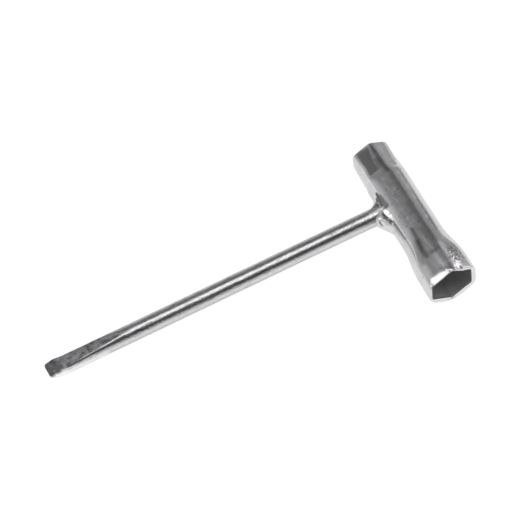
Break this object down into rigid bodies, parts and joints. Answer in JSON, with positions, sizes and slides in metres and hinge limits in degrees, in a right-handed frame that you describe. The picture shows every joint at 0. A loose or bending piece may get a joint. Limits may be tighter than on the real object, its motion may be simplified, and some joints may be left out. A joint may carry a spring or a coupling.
{
  "type": "chainsaw combination wrench",
  "caption": "T-shaped chainsaw wrench: a formed steel tube with a hexagon socket at each end, and a round bar welded to its side that ends in a screwdriver blade.",
  "frame": {"origin": "where the tube's axis and the bar's axis cross, inside the tube's round bore", "axes": "+X along the bar to the blade, +Y along the tube to the large socket, +Z out of the plane of the T"},
  "size_m": [0.1861, 0.0777, 0.025],
  "materials": {
    "plated_tube": "bright zinc plating over a smooth drawn tube",
    "plated_bar": "bright zinc plating, matte on the forged flats",
    "plated_weld": "zinc plating over lumpy weld metal"
  },
  "bodies": {
    "root": {"socket_head": "plated_tube", "handle_bar": "plated_bar", "weld_bead": "plated_weld"}
  },
  "joints": []
}
